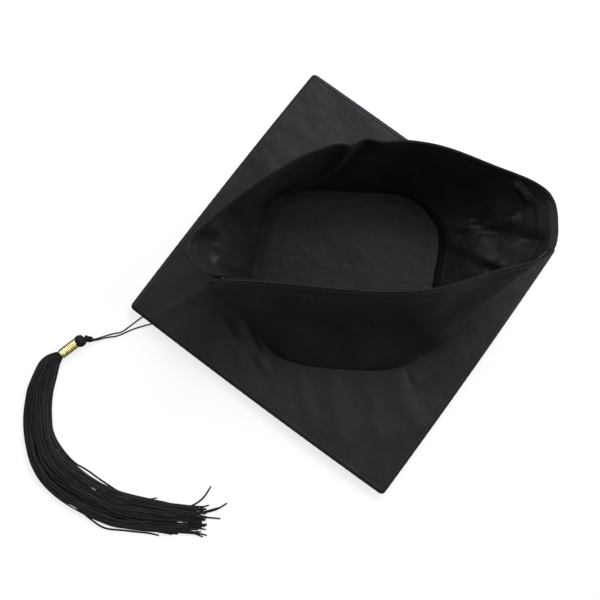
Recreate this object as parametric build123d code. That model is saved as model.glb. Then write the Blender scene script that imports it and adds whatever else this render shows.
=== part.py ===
from build123d import *
import os
from math import cos, pi, radians, sin, sqrt, tan

# A graduation cap, in millimetres, lying upside down on a table: the board rests on
# its button, the skullcap stands open above it, and the tassel lies beside it.
# Origin: the button's axis at the table. +Z up, -Y to the wearer's forehead.
# Heights are above the table.

# Button, fabric over a flat former, on a short gathered neck
BUTTON_RADIUS = 12.7
BUTTON_HEIGHT = 2.8
BUTTON_ROUND = 1.0
BUTTON_CLOTH = 0.5
NECK_RADIUS = 3.0
POST_RADIUS = 1.5
POST_CLEARANCE = 0.1
POST_HEAD_RADIUS = 3.0
POST_HEAD_HEIGHT = 0.5
WASHER_RADIUS = 8.0
WASHER_HEIGHT = 0.8

# Board: a stiff square core between two covers, sewn together along the edge
BOARD_SIDE = 240.0
BOARD_CORNER = 3.5
BOARD_EDGE_BOW = 1.0
BOARD_BOTTOM = 5.2
COVER_CLOTH = 0.5
COVER_SEAM_HEIGHT = 6.9
CORE_HEIGHT = 2.4
FIT_GAP = 0.1
EDGE_SEAM_HEIGHT = 1.0
EDGE_SEAM_DEPTH = 0.6

# Crown disc: the end of the skullcap that is sewn to the board, a rounded square
CROWN_ACROSS = 145.0
CROWN_ALONG = 150.0
CROWN_SQUARENESS = 3.2
CROWN_TURN = -12.0
CROWN_CLOTH = 0.8

# Skullcap wall, from the crown seam up to the rim
RIM_HEIGHT = 87.0
PANEL_CLOTH = 1.2
LAYER_GAP = 0.3
FACING_CLOTH = 0.6
FACING_DEPTH = 12.0
TAPE_DEPTH = 5.0
ELASTIC_WIDTH = 8.0
ELASTIC_CLOTH = 0.8
ELASTIC_FROM_RIM = 2.0
STEPS_PER_STATION = 3

# Tassel
LOOP_DIAMETER = 1.4
LOOP_BEND_SHARE = 0.45  # of the shorter run beside each corner that its curve takes
KNOT_RADIUS = 2.4
KNOT_HEIGHT = 2.6
HEAD_RADIUS = 4.8
COLLAR_RADIUS = 3.5
COLLAR_RIB = 0.35
COLLAR_WALL = 0.25
COLLAR_LENGTH = 15.0
COLLAR_RIBS = 10
COLLAR_END_BAND = 1.0
COLLAR_RIB_START, COLLAR_RIB_END = 0.3, 0.7  # shares of one rib's pitch
BINDING_GAP = 0.05
BINDING_RADIUS = COLLAR_RADIUS - COLLAR_WALL - BINDING_GAP
TABLE_GAP = 0.2

# Heights worked out from the above
CORE_BOTTOM = BOARD_BOTTOM + COVER_CLOTH
CORE_TOP = CORE_BOTTOM + CORE_HEIGHT
BOARD_TOP = CORE_TOP + COVER_CLOTH
WALL_BOTTOM = BOARD_TOP + CROWN_CLOTH
WALL_HEIGHT = RIM_HEIGHT - WALL_BOTTOM

# Stations round the skullcap, front to right to back to left as seen from above:
# a point of the rim (x, y), the crown seam's angle under it from +X, and how far
# inside the crown seam the cloth starts there.
RIGHT_STATIONS = [
    (4.0, -110.0, -61, 0),
    (5.5, -97.0, -55, 0),
    (10.5, -70.0, -43, 0),
    (21.0, -25.0, -26, 0),
    (30.0, 20.0, -10, 0),
    (31.5, 60.0, 3, 0),
    (24.5, 104.0, 15, 0),
    (14.0, 142.0, 27, 0),
]
BACK_STATIONS = [
    (12.2, 142.9, 29, 0),
    (-2.0, 147.3, 62, 0),
    (-20.8, 148.0, 110, 0),
]
ELASTIC_STATIONS = [
    (8.5, 144.2, 36, 0),
    (-2.0, 147.3, 62, 0),
    (-17.5, 148.2, 103, 0),
]
LEFT_STATIONS = [
    (-23.0, 148.0, 112, 0),
    (-51.0, 113.0, 127, 0),
    (-74.0, 70.0, 143, 0),
    (-84.5, 20.0, 163, 0),
    (-81.5, -20.0, 186, 0),
    (-60.0, -70.0, 209, 0),
    (-38.0, -106.0, 221, 0),
    (-18.0, -122.0, 229, 0),
]
# The left panel turns the front point, and its end is tucked inside the right one.
TUCK_STATIONS = [
    (-18.0, -122.0, 229, 0),
    (-10.0, -118.5, 252, 0.4),
    (-1.0, -109.0, 282, 1.6),
    (1.5, -97.0, 302, 2.6),
]
TAPE_STATIONS = RIGHT_STATIONS[2:-1] + BACK_STATIONS + LEFT_STATIONS[1:]
BARTACK_PLACE = (3.4, -98.5)
BARTACK_RADIUS = 1.1
BARTACK_LENGTH = 6.0
BARTACK_BELOW_RIM = 3.0

# The tassel's loop leaves the knot, goes round the button's neck and comes back.
# Its points are (x, y, z) from the knot along the strand nearer the front corner,
# round the neck, and back along the other strand.
LOOP_POINTS = [
    (19.0, -200.9, 2.2),
    (18.4, -195.5, 1.0),
    (18.0, -189.0, 0.8),
    (17.2, -181.0, 0.7),
    (14.9, -172.5, 0.7),
    (9.9, -164.0, 0.7),
    (5.2, -152.0, 0.7),
    (1.5, -131.0, 0.7),
    (1.6, -98.0, 0.7),
    (-1.6, -63.0, 0.7),
    (-2.4, -37.0, 1.5),
    (-4.3, -20.0, 3.6),
    (-4.9, -8.5, 4.0),
    (-4.7, -1.8, 4.0),
    (-3.4, 3.4, 4.0),
    (0.1, 5.0, 4.0),
    (3.5, 3.3, 4.0),
    (4.7, -1.9, 4.0),
    (4.9, -8.5, 4.0),
    (5.4, -20.0, 3.6),
    (5.3, -37.0, 1.5),
    (8.6, -63.0, 0.7),
    (8.2, -98.0, 0.7),
    (12.6, -129.0, 0.7),
    (13.8, -150.0, 0.7),
    (15.6, -163.0, 0.7),
    (18.3, -172.5, 0.7),
    (20.6, -181.0, 0.7),
    (20.5, -189.0, 0.8),
    (20.3, -195.5, 1.0),
    (20.4, -200.9, 2.2),
]

KNOT_PLACE = (19.7, -203.6)
HEAD_PLACE = (20.8, -210.6)
COLLAR_START = (21.15, -213.3, 4.1)
COLLAR_TURN = -59.5  # the collar's direction on the table, in degrees from +X

# The skirt's stations: centre (x, y), width and thickness of the flattened bundle
SKIRT_STATIONS = [
    (30.6, -230.2, 11.2, 6.4), (34.9, -235.5, 16.4, 7.0), (42.8, -239.8, 18.7, 6.8),
    (54.0, -245.3, 20.6, 6.4), (72.0, -249.0, 22.0, 6.0), (90.6, -249.7, 22.4, 5.8),
    (108.6, -244.6, 27.7, 5.6), (122.5, -234.4, 30.0, 5.4), (135.7, -219.8, 30.6, 5.2),
    (149.3, -202.6, 31.8, 5.0), (157.0, -180.8, 26.6, 4.6), (162.9, -158.4, 22.5, 4.2),
    (167.3, -136.5, 16.5, 3.6),
]


def disc(radius, bottom, height):
    """A round plate on the button's axis."""
    return Pos(0, 0, bottom) * extrude(Circle(radius), height)


# Button


def button_former():
    """The flat plate inside the button, with a seat for the post's head."""
    bottom = BUTTON_CLOTH
    plate = disc(BUTTON_RADIUS - BUTTON_CLOTH - FIT_GAP, bottom, BUTTON_HEIGHT - 2 * BUTTON_CLOTH)
    seat = disc(POST_HEAD_RADIUS + POST_CLEARANCE, bottom, POST_HEAD_HEIGHT + POST_CLEARANCE)
    return plate - seat - disc(POST_RADIUS + POST_CLEARANCE, 0, BUTTON_HEIGHT)


def button_cover():
    """The cloth over the former, gathered into the neck behind it."""
    shell = disc(BUTTON_RADIUS, 0, BUTTON_HEIGHT)
    shell = fillet(shell.edges().filter_by(GeomType.CIRCLE), BUTTON_ROUND)
    pocket = disc(BUTTON_RADIUS - BUTTON_CLOTH, BUTTON_CLOTH, BUTTON_HEIGHT - 2 * BUTTON_CLOTH)
    neck = disc(NECK_RADIUS, BUTTON_HEIGHT, BOARD_BOTTOM - BUTTON_HEIGHT)
    post_hole = disc(POST_RADIUS + POST_CLEARANCE, BUTTON_HEIGHT - BUTTON_CLOTH, BOARD_BOTTOM)
    return shell - pocket + neck - post_hole


def button_post():
    """The rivet that holds the button: a head in the former and a shank through the board."""
    return disc(POST_HEAD_RADIUS, BUTTON_CLOTH, POST_HEAD_HEIGHT) + disc(
        POST_RADIUS, BUTTON_CLOTH, CORE_TOP - BUTTON_CLOTH
    )


def button_washer():
    """The plate that the post is set over, sunk in the core."""
    bottom = CORE_TOP - WASHER_HEIGHT
    return disc(WASHER_RADIUS, bottom, WASHER_HEIGHT) - disc(
        POST_RADIUS + POST_CLEARANCE / 2, bottom, WASHER_HEIGHT
    )


# Board


def board_outline(inset):
    """The board's square outline, corners on the axes, edges bowed outwards a little."""
    reach = (BOARD_SIDE / 2 - inset) * sqrt(2)
    tips = [Vector(0, -reach), Vector(reach, 0), Vector(0, reach), Vector(-reach, 0)]
    bow = 1 + BOARD_EDGE_BOW / (BOARD_SIDE / 2)
    edges = [
        ThreePointArc(a, (a + b) * (bow / 2), b)
        for a, b in zip(tips, tips[1:] + tips[:1])
    ]
    face = make_face(edges)
    return fillet(face.vertices(), BOARD_CORNER - min(inset, BOARD_CORNER / 2))


def board_layer(inset, bottom, height):
    """A layer of the board, that far inside its outline."""
    return Pos(0, 0, bottom) * extrude(board_outline(inset), height)


def board_core():
    core = board_layer(COVER_CLOTH + FIT_GAP, CORE_BOTTOM, CORE_HEIGHT)
    recess = disc(WASHER_RADIUS + FIT_GAP, CORE_TOP - WASHER_HEIGHT, WASHER_HEIGHT)
    return core - recess - disc(POST_RADIUS + 2 * POST_CLEARANCE, CORE_BOTTOM, CORE_HEIGHT)


def board_cover_top():
    """The cover on the button's side, turned up round the core to the edge seam."""
    cover = board_layer(0, BOARD_BOTTOM, COVER_SEAM_HEIGHT - BOARD_BOTTOM)
    pocket = board_layer(COVER_CLOTH, CORE_BOTTOM, CORE_HEIGHT)
    return cover - pocket - disc(POST_RADIUS + 2 * POST_CLEARANCE, BOARD_BOTTOM, COVER_CLOTH)


def board_cover_underside():
    """The cover on the skullcap's side, turned down round the core to the edge seam."""
    cover = board_layer(0, COVER_SEAM_HEIGHT, BOARD_TOP - COVER_SEAM_HEIGHT)
    return cover - board_layer(COVER_CLOTH, CORE_BOTTOM, CORE_HEIGHT)


def board_edge_seam():
    """The sewn ridge where the two covers meet, all round the board's edge."""
    bottom = COVER_SEAM_HEIGHT - EDGE_SEAM_HEIGHT / 2
    ridge = board_layer(-EDGE_SEAM_DEPTH, bottom, EDGE_SEAM_HEIGHT)
    return ridge - board_layer(0, bottom, EDGE_SEAM_HEIGHT)


# Skullcap


def crown_point(angle, inset):
    """The crown seam's point at that angle in degrees from +X, moved inwards."""
    across, along = CROWN_ACROSS / 2 - inset, CROWN_ALONG / 2 - inset
    turned = radians(angle - CROWN_TURN)
    share = abs(cos(turned) / across) ** CROWN_SQUARENESS
    share += abs(sin(turned) / along) ** CROWN_SQUARENESS
    reach = share ** (-1 / CROWN_SQUARENESS)
    return Vector(reach * cos(radians(angle)), reach * sin(radians(angle)))


def crown_disc():
    """The flat end of the skullcap, sewn down on the board."""
    edge = Spline([crown_point(angle, 0) for angle in range(0, 360, 10)], periodic=True)
    return Pos(0, 0, BOARD_TOP) * extrude(make_face(edge), CROWN_CLOTH)


def wall_line(stations, share, inset):
    """The wall's line at that share of its height, moved inwards by inset.

    Between stations the rim is a smooth curve, and the crown seam keeps its own."""
    rim = Spline([(x, y) for x, y, _, _ in stations])
    places = [rim.param_at_point(Vector(x, y)) for x, y, _, _ in stations]
    line = []
    for i in range((len(stations) - 1) * STEPS_PER_STATION + 1):
        at = min(i // STEPS_PER_STATION, len(stations) - 2)
        part = i / STEPS_PER_STATION - at
        _, _, angle, crown_inset = (
            (1 - part) * a + part * b for a, b in zip(stations[at], stations[at + 1])
        )
        place = (1 - part) * places[at] + part * places[at + 1]
        line.append(crown_point(angle, crown_inset) * (1 - share) + (rim @ place) * share)
    height = WALL_BOTTOM + WALL_HEIGHT * share
    moved = []
    for i, point in enumerate(line):
        along = (line[min(i + 1, len(line) - 1)] - line[max(i - 1, 0)]).normalized()
        place = point + Vector(-along.Y, along.X) * inset
        moved.append(Vector(place.X, place.Y, height))
    return Spline(moved)


def band(stations, low, high, inset, cloth):
    """A strip of the wall between two shares of its height, that thick."""
    sections = []
    for share in (low, high):
        outer = wall_line(stations, share, inset)
        inner = wall_line(stations, share, inset + cloth)
        ends = [Line(outer @ 0, inner @ 0), Line(outer @ 1, inner @ 1)]
        sections.append(make_face([outer, inner] + ends))
    return loft(sections, ruled=True)


def crown_seam_tape():
    """The strip that binds the crown seam inside, from one side of the tuck to the other."""
    return band(
        TAPE_STATIONS, 0, TAPE_DEPTH / WALL_HEIGHT, PANEL_CLOTH + LAYER_GAP, FACING_CLOTH
    )


def panel(stations):
    """A panel of the wall, from the crown seam to the rim."""
    return band(stations, 0, 1, 0, PANEL_CLOTH)


def facing(stations):
    """The strip sewn inside the rim."""
    low = 1 - FACING_DEPTH / WALL_HEIGHT
    return band(stations, low, 1, PANEL_CLOTH + LAYER_GAP, FACING_CLOTH)


def back_elastic():
    """The flat elastic held in the back's casing."""
    high = 1 - ELASTIC_FROM_RIM / WALL_HEIGHT
    low = high - ELASTIC_WIDTH / WALL_HEIGHT
    return band(ELASTIC_STATIONS, low, high, PANEL_CLOTH + LAYER_GAP, ELASTIC_CLOTH)


def back_casing():
    """The strip that closes the elastic in against the back panel."""
    low = 1 - FACING_DEPTH / WALL_HEIGHT
    inset = PANEL_CLOTH + ELASTIC_CLOTH + 2 * LAYER_GAP
    return band(ELASTIC_STATIONS, low, 1, inset, FACING_CLOTH)


def front_bartack():
    """The thread knot that ties the tucked end to the right panel."""
    x, y = BARTACK_PLACE
    bar = Cylinder(BARTACK_RADIUS, BARTACK_LENGTH)
    bar = fillet(bar.edges(), BARTACK_RADIUS / 2)
    return Pos(x, y, RIM_HEIGHT - BARTACK_BELOW_RIM) * Rot(0, 90, 0) * bar


# Tassel


def fillet_radii(points):
    """The radius at each corner, as large as its shorter run allows."""
    radii = []
    for a, b, c in zip(points, points[1:], points[2:]):
        before, after = b - a, c - b
        half_turn = radians(before.get_angle(after)) / 2
        radii.append(LOOP_BEND_SHARE * min(before.length, after.length) / tan(half_turn))
    return radii


def tassel_loop():
    """The cord that goes round the button's neck, both ends in the knot."""
    points = [Vector(point) for point in LOOP_POINTS]
    radii = fillet_radii(points)
    path = FilletPolyline(points, radius=radii)
    tube = sweep(Plane(path @ 0, z_dir=path % 0) * Circle(LOOP_DIAMETER / 2), path)
    section = pi * LOOP_DIAMETER**2 / 4
    print("loop radii", [round(radius, 1) for radius in radii])
    share = tube.volume / section / path.length
    print("loop length", round(path.length, 1), "volume share", round(share, 4))
    return tube


def tassel_knot():
    """The small knot that closes the loop, round about its own upright axis."""
    return Pos(*KNOT_PLACE, KNOT_HEIGHT) * Sphere(KNOT_RADIUS)


def collar_plane(along):
    """The plane across the collar's axis, that far along it."""
    direction = Vector(cos(radians(COLLAR_TURN)), sin(radians(COLLAR_TURN)))
    return Plane(Vector(COLLAR_START) + direction * along, z_dir=direction)


def tassel_head():
    """The round head where the strands fold over, flat against the collar."""
    ball = Pos(*HEAD_PLACE, HEAD_RADIUS) * Sphere(HEAD_RADIUS)
    beyond = collar_plane(0) * extrude(Circle(2 * HEAD_RADIUS), 2 * HEAD_RADIUS)
    knot_seat = Pos(*KNOT_PLACE, KNOT_HEIGHT) * Sphere(KNOT_RADIUS + FIT_GAP)
    return ball - beyond - knot_seat


def tassel_binding():
    """The neck of bound strands inside the collar."""
    return collar_plane(0) * extrude(Circle(BINDING_RADIUS), COLLAR_LENGTH)


def tassel_collar():
    """The thin metal band crimped round the neck, ribbed round its middle."""
    inside = COLLAR_RADIUS - COLLAR_WALL
    pitch = (COLLAR_LENGTH - 2 * COLLAR_END_BAND) / COLLAR_RIBS
    outline = [(inside, 0), (COLLAR_RADIUS, 0)]
    for rib in range(COLLAR_RIBS):
        start = COLLAR_END_BAND + rib * pitch
        outline += [
            (COLLAR_RADIUS, start),
            (COLLAR_RADIUS + COLLAR_RIB, start + pitch * COLLAR_RIB_START),
            (COLLAR_RADIUS + COLLAR_RIB, start + pitch * COLLAR_RIB_END),
        ]
    outline += [(COLLAR_RADIUS, COLLAR_LENGTH - COLLAR_END_BAND)]
    outline += [(COLLAR_RADIUS, COLLAR_LENGTH), (inside, COLLAR_LENGTH)]
    profile = Plane.XZ * make_face(Polyline(outline, close=True))
    return collar_plane(0) * revolve(profile, Axis.Z)


def tassel_skirt():
    """The bundle of loose strands, one closed form from the collar to their ends."""
    mouth = collar_plane(COLLAR_LENGTH)
    centres = [mouth.origin]
    centres += [Vector(x, y, TABLE_GAP + high / 2) for x, y, _, high in SKIRT_STATIONS]
    sections = [mouth * Circle(BINDING_RADIUS)]
    for i, (_, _, wide, high) in enumerate(SKIRT_STATIONS, 1):
        before, after = centres[i - 1], centres[min(i + 1, len(centres) - 1)]
        along = Vector(after.X - before.X, after.Y - before.Y).normalized()
        across = Vector(-along.Y, along.X)
        plane = Plane(centres[i], x_dir=across, z_dir=along)
        sections.append(plane * Ellipse(wide / 2, high / 2))
    return loft(sections, ruled=True)


PARTS = {
    "button_cover": button_cover,
    "button_former": button_former,
    "button_post": button_post,
    "button_washer": button_washer,
    "board_core": board_core,
    "board_cover_top": board_cover_top,
    "board_cover_underside": board_cover_underside,
    "board_edge_seam": board_edge_seam,
    "crown_disc": crown_disc,
    "crown_seam_tape": crown_seam_tape,
    "right_panel": lambda: panel(RIGHT_STATIONS),
    "left_panel": lambda: panel(LEFT_STATIONS) + panel(TUCK_STATIONS),
    "back_panel": lambda: panel(BACK_STATIONS),
    "right_rim_facing": lambda: facing(RIGHT_STATIONS),
    "left_rim_facing": lambda: facing(LEFT_STATIONS),
    "back_casing": back_casing,
    "back_elastic": back_elastic,
    "front_bartack": front_bartack,
    "tassel_loop": tassel_loop,
    "tassel_knot": tassel_knot,
    "tassel_head": tassel_head,
    "tassel_binding": tassel_binding,
    "tassel_collar": tassel_collar,
    "tassel_skirt": tassel_skirt,
}

os.makedirs("parts", exist_ok=True)
for node, make in PARTS.items():
    export_step(make(), f"parts/{node}.step")
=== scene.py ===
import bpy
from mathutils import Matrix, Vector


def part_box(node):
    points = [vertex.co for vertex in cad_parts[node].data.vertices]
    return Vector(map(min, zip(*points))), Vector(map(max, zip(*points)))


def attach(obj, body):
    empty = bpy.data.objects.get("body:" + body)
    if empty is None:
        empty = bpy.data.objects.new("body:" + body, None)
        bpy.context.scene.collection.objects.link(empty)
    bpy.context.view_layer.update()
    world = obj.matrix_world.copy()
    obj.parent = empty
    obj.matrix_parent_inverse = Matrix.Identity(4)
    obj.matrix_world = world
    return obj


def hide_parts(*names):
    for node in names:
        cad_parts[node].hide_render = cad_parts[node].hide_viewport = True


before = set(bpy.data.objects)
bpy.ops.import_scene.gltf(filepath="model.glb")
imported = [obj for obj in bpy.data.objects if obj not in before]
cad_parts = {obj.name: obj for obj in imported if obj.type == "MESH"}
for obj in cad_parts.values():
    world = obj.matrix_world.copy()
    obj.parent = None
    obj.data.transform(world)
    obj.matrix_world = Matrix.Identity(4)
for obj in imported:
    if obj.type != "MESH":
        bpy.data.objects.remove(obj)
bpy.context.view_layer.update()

from math import cos, pi, radians, sin
from random import Random

import bmesh
import bpy
import numpy as np
from mathutils import Matrix, Vector, noise

# The cap lies upside down: the board on its button, the skullcap open upwards, the
# tassel on the table. Everything is in metres, in the CAD model's frame, and lengths
# written in millimetres are multiplied by MM.
MM = 0.001

BOARD_HALF = 120 * MM
BOARD_BOTTOM, SEAM_HEIGHT, BOARD_TOP = 5.2 * MM, 6.9 * MM, 8.6 * MM
WALL_BOTTOM, RIM_HEIGHT = 9.4 * MM, 87 * MM
CROWN_ACROSS, CROWN_ALONG = 145 * MM, 150 * MM
CROWN_SQUARENESS, CROWN_TURN = 3.2, -12.0

# Stations round the skullcap's wall: rim (x, y) in mm, the crown seam's angle under it
# and how far inside the crown seam the cloth starts there, in mm.
STATIONS = [
    (4.0, -110.0, -61, 0), (5.5, -97.0, -55, 0), (10.5, -70.0, -43, 0),
    (21.0, -25.0, -26, 0), (30.0, 20.0, -10, 0), (31.5, 60.0, 3, 0),
    (24.5, 104.0, 15, 0), (13.1, 142.5, 28, 0), (-2.0, 147.3, 62, 0),
    (-21.9, 148.0, 111, 0), (-51.0, 113.0, 127, 0), (-74.0, 70.0, 143, 0),
    (-84.5, 20.0, 163, 0), (-81.5, -20.0, 186, 0), (-60.0, -70.0, 209, 0),
    (-38.0, -106.0, 221, 0), (-18.0, -122.0, 229, 0), (-10.0, -118.5, 252, 0.4),
    (-1.0, -109.0, 282, 1.6), (1.5, -97.0, 302, 2.6),
]
COLLAR_LENGTH, COLLAR_BAND, COLLAR_RIBS = 15 * MM, 1 * MM, 10
COLLAR_PITCH = (COLLAR_LENGTH - 2 * COLLAR_BAND) / COLLAR_RIBS
SEAM_STATIONS = (7, 9)  # where the right, back and left panels meet
COLUMNS, ROWS = 560, 60


# Camera


# Fitted to the board's four corners in the photo: place, directions back from the view
# and up in the picture, and millimetres of lens and sensor
CAMERA_PLACE = (0.1577, -0.1212, 0.8459)
CAMERA_BACK, CAMERA_UP = Vector((0.1695, -0.0957, 0.9809)), Vector((-0.974, 0.1358, 0.1815))
CAMERA_LENS, SENSOR_WIDTH = 66, 36


def make_camera():
    back = CAMERA_BACK.normalized()
    right = CAMERA_UP.cross(back).normalized()
    up = back.cross(right)
    data = bpy.data.cameras.new("camera")
    data.lens, data.sensor_width = CAMERA_LENS, SENSOR_WIDTH
    camera = bpy.data.objects.new("camera", data)
    bpy.context.scene.collection.objects.link(camera)
    turn = Matrix((right, up, back)).transposed().to_4x4()
    camera.matrix_world = Matrix.Translation(CAMERA_PLACE) @ turn
    bpy.context.scene.camera = camera


make_camera()
bpy.context.scene.view_settings.view_transform = "Standard"


# Materials


def new_material(name, **values):
    """A material and its shader, with plain values set on the shader's own sockets."""
    material = bpy.data.materials.new(name)
    material.use_nodes = True
    shader = material.node_tree.nodes["Principled BSDF"]
    for socket, value in values.items():
        shader.inputs[socket.replace("_", " ")].default_value = value
    return material, shader


def add_node(material, kind, inputs=None, **settings):
    """A node with its settings, and inputs given as values or as (node, output)."""
    tree = material.node_tree
    node = tree.nodes.new(kind)
    for key, value in settings.items():
        setattr(node, key, value)
    for key, value in (inputs or {}).items():
        if isinstance(value, tuple) and isinstance(value[0], bpy.types.Node):
            tree.links.new(value[0].outputs[value[1]], node.inputs[key])
        else:
            node.inputs[key].default_value = value
    return node


def link(material, node, output, target, socket):
    material.node_tree.links.new(node.outputs[output], target.inputs[socket])


def ramp(material, source, output, stops):
    """A colour ramp over a node's output, as (position, colour or grey) stops."""
    node = add_node(material, "ShaderNodeValToRGB", {"Fac": (source, output)})
    elements = node.color_ramp.elements
    for i, (position, colour) in enumerate(stops):
        element = elements[i] if i < 2 else elements.new(position)
        element.position = position
        grey = isinstance(colour, (int, float))
        element.color = (colour,) * 3 + (1,) if grey else (*colour, 1)
    return node


def ramp_into(material, shader, socket, source, output, stops):
    link(material, ramp(material, source, output, stops), "Color", shader, socket)


def noise_texture(material, place, space, scale, detail, roughness=0.5):
    return add_node(material, "ShaderNodeTexNoise", {
        "Vector": (place, space), "Scale": scale, "Detail": detail, "Roughness": roughness,
    })


def band_texture(material, place, direction, scale, **inputs):
    """Bands that cross the UV in that direction."""
    inputs = {key.replace("_", " "): value for key, value in inputs.items()}
    return add_node(
        material, "ShaderNodeTexWave", {"Vector": (place, "UV"), "Scale": scale, **inputs},
        wave_type="BANDS", bands_direction=direction,
    )


def blend_of(material, share, first, second):
    """A value between two noise textures' own."""
    inputs = {"Factor": share, "A": (first, "Fac"), "B": (second, "Fac")}
    return add_node(material, "ShaderNodeMix", inputs, data_type="FLOAT")


def bumps(material, shader, layers):
    """Chains bump nodes, each (node, output, strength, distance), into the shader."""
    last = None
    for source, output, strength, distance in layers:
        inputs = {"Height": (source, output), "Strength": strength, "Distance": distance}
        if last is not None:
            inputs["Normal"] = (last, "Normal")
        last = add_node(material, "ShaderNodeBump", inputs)
    link(material, last, "Normal", shader, "Normal")


WAVE_UNIT = 3.2  # bands in a UV unit at scale 1; half as many along each side if diagonal


def cloth_material(name, dark, light, roughness, sheen, twill=0.55):
    """Satin-faced twill: fine diagonal ribs, thread slubs, and shine worn in patches."""
    material, shader = new_material(
        name, Sheen_Weight=sheen, Sheen_Roughness=0.35, Specular_IOR_Level=0.07
    )
    shader.inputs["Sheen Tint"].default_value = (0.75, 0.8, 0.9, 1)
    place = add_node(material, "ShaderNodeTexCoord")
    ribs = band_texture(
        material, place, "DIAGONAL", 1 / (twill * MM) / WAVE_UNIT,
        Distortion=0.6, Detail=1.0, Detail_Scale=2.0,
    )
    threads = noise_texture(material, place, "UV", 900.0, 2.0, 0.7)
    crumple = noise_texture(material, place, "Object", 70.0, 5.0, 0.62)
    patches = noise_texture(material, place, "Object", 30.0, 4.0, 0.6)
    tone = blend_of(material, 0.45, threads, patches)
    ramp_into(material, shader, "Base Color", tone, "Result", [(0.3, dark), (0.7, light)])
    worn = [(0.3, roughness - 0.06), (0.7, roughness + 0.08)]
    ramp_into(material, shader, "Roughness", patches, "Fac", worn)
    bumps(material, shader, [
        (crumple, "Fac", 0.6, 1.0 * MM),
        (ribs, "Fac", 0.35, 0.06 * MM),
        (threads, "Fac", 0.8, 0.2 * MM),
    ])
    return material


def thread_material(name, dark, light, pitch, roughness=0.55, sheen=0.35, level=0.25):
    """Twisted thread: diagonal plies along the UV's length, and loose fibres."""
    material, shader = new_material(
        name, Sheen_Weight=sheen, Sheen_Roughness=0.4, Specular_IOR_Level=level
    )
    place = add_node(material, "ShaderNodeTexCoord")
    plies = band_texture(material, place, "DIAGONAL", 1 / pitch / WAVE_UNIT, Distortion=0.8)
    fibres = noise_texture(material, place, "Object", 1500.0, 2.0)
    clumps = noise_texture(material, place, "Object", 420.0, 2.0)
    tone = blend_of(material, 0.55, fibres, clumps)
    ramp_into(material, shader, "Base Color", tone, "Result", [(0.35, dark), (0.65, light)])
    worn = [(0.3, roughness - 0.1), (0.7, roughness + 0.15)]
    ramp_into(material, shader, "Roughness", clumps, "Fac", worn)
    bumps(material, shader, [
        (plies, "Fac", 0.6, 0.12 * MM), (fibres, "Fac", 0.3, 0.05 * MM)
    ])
    return material


def gold_material(pitch):
    """Bright pale gold plating, rougher in the grooves a pitch apart along the UV, where painted
    shade darkens it.
    """
    material, shader = new_material("collar_gold", Metallic=1.0, Specular_IOR_Level=0.5)
    place = add_node(material, "ShaderNodeTexCoord")
    smudge = noise_texture(material, place, "Object", 260.0, 3.0)
    scratch = noise_texture(material, place, "Object", 2600.0, 1.0)
    groove = band_texture(material, place, "Y", pi / 10 / pitch, Distortion=0.25)
    plate = ramp(material, smudge, "Fac", [(0.3, (0.86, 0.65, 0.2)), (0.7, (1.0, 0.9, 0.5))])
    # painted shade: the plating's colour goes nearly black in the grooves between the ribs
    painted_groove_shade = ramp(material, groove, "Fac", [(0.25, (0.045, 0.03, 0.01)), (0.6, (1, 1, 1))])
    colour = add_node(
        material, "ShaderNodeMix", {0: 1.0, 6: (plate, "Color"), 7: (painted_groove_shade, "Color")},
        data_type="RGBA", blend_type="MULTIPLY",
    )
    link(material, colour, 2, shader, "Base Color")
    ramp_into(material, shader, "Roughness", groove, "Fac", [(0.1, 0.5), (0.5, 0.2)])
    bumps(material, shader, [(scratch, "Fac", 0.12, 0.05 * MM)])
    return material


def plain_material(name, dark, light, roughness, metallic=0.0):
    """For the stiff pieces inside: mottled colour and a fine grain."""
    material, shader = new_material(name, Metallic=metallic)
    place = add_node(material, "ShaderNodeTexCoord")
    grain = noise_texture(material, place, "Object", 300.0, 5.0)
    ramp_into(material, shader, "Base Color", grain, "Fac", [(0.3, dark), (0.7, light)])
    worn = [(0.3, roughness - 0.08), (0.7, roughness + 0.08)]
    ramp_into(material, shader, "Roughness", grain, "Fac", worn)
    bumps(material, shader, [(grain, "Fac", 0.3, 0.1 * MM)])
    return material


CLOTH = cloth_material(
    "cap_cloth", (0.003, 0.0031, 0.0033), (0.0125, 0.0127, 0.0135), 0.36, 0.01
)
TAPE = cloth_material("seam_tape", (0.002, 0.002, 0.0022), (0.005, 0.005, 0.0055), 0.5, 0.02, 0.8)
ELASTIC = thread_material("elastic", (0.5, 0.49, 0.45), (0.75, 0.74, 0.7), 1.2 * MM, 0.7, 0.2)
STITCH = thread_material(
    "sewing_thread", (0.009, 0.009, 0.0095), (0.017, 0.017, 0.018), 0.5 * MM, 0.5, 0.04
)
TASSEL = thread_material(
    "tassel_thread", (0.0003, 0.0004, 0.0005), (0.003, 0.0032, 0.0038), 1.0 * MM, 0.47, 0.01, 0.15
)
GOLD = gold_material(COLLAR_PITCH)
BOARD = plain_material("board_stiffener", (0.33, 0.25, 0.16), (0.46, 0.37, 0.26), 0.85)
PLASTIC = plain_material("button_plate", (0.55, 0.55, 0.53), (0.7, 0.7, 0.68), 0.5)
STEEL = plain_material("rivet_metal", (0.5, 0.5, 0.52), (0.62, 0.62, 0.64), 0.35, 1.0)


# Meshes


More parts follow.
